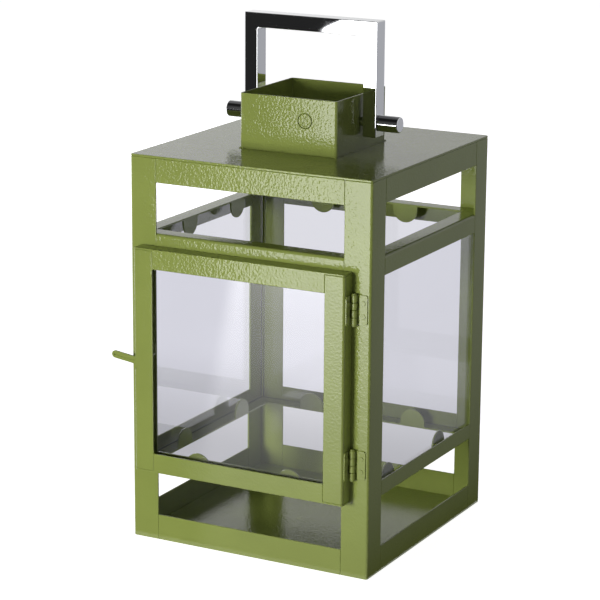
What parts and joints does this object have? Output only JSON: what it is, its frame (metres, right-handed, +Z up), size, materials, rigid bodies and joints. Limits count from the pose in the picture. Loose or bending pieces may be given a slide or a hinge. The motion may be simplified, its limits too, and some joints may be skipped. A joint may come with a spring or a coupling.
{
  "type": "candle lantern",
  "caption": "Square sheet-metal candle lantern with glass sides, a hinged glass door with a turning latch, a vented chimney collar and a swinging chrome handle.",
  "frame": {"origin": "centre of the base, on the face that the lantern stands on", "axes": "+Z up, the door faces -Y, its hinges are on the +X side"},
  "size_m": [0.181, 0.1807, 0.3355],
  "materials": {
    "enamel": "gloss",
    "chrome": "polished",
    "clear_glass": "polished",
    "zinc_steel": "plated"
  },
  "bodies": {
    "lantern_body": {"bottom_rail_front": "enamel", "bottom_rail_left": "enamel", "bottom_rail_rear": "enamel", "bottom_rail_right": "enamel", "chimney": "enamel", "corner_post_front_left": "enamel", "corner_post_front_right": "enamel", "corner_post_rear_left": "enamel", "corner_post_rear_right": "enamel", "floor_plate": "enamel", "glass_pane_left": "clear_glass", "glass_pane_rear": "clear_glass", "glass_pane_right": "clear_glass", "hinge_leaf_frame_lower": "enamel", "hinge_leaf_frame_upper": "enamel", "hinge_pin_lower": "enamel", "hinge_pin_upper": "enamel", "hinge_rivets_frame": "enamel", "latch_catch": "enamel", "lower_glass_rail_front": "enamel", "lower_glass_rail_left": "enamel", "lower_glass_rail_rear": "enamel", "lower_glass_rail_right": "enamel", "pivot_nuts": "zinc_steel", "pivot_pin_left": "chrome", "pivot_pin_right": "chrome", "roof_plate": "enamel", "top_rail_front": "enamel", "top_rail_left": "enamel", "top_rail_rear": "enamel", "top_rail_right": "enamel", "upper_glass_rail_front": "enamel", "upper_glass_rail_left": "enamel", "upper_glass_rail_rear": "enamel", "upper_glass_rail_right": "enamel"},
    "door": {"door_glass": "clear_glass", "door_rail_bottom": "enamel", "door_rail_top": "enamel", "door_stile_hinge": "enamel", "door_stile_latch": "enamel", "hinge_leaf_door_lower": "enamel", "hinge_leaf_door_upper": "enamel", "hinge_rivets_door": "enamel", "latch_pivot": "enamel"},
    "latch": {"latch_lever": "enamel"},
    "handle": {"handle_bail": "chrome"}
  },
  "joints": [
    {"name": "door_hinge", "type": "hinge", "parent": "lantern_body", "child": "door", "pos_m": [0.07485, -0.08735, 0.12245], "axis": [0, 0, 1], "range_deg": [0, 110]},
    {"name": "latch_turn", "type": "hinge", "parent": "door", "child": "latch", "pos_m": [-0.073, -0.091, 0.11995], "axis": [0, -1, 0], "range_deg": [0, 20]},
    {"name": "handle_swing", "type": "hinge", "parent": "lantern_body", "child": "handle", "pos_m": [0, 0, 0.271], "axis": [1, 0, 0], "range_deg": [-100, 100]}
  ]
}
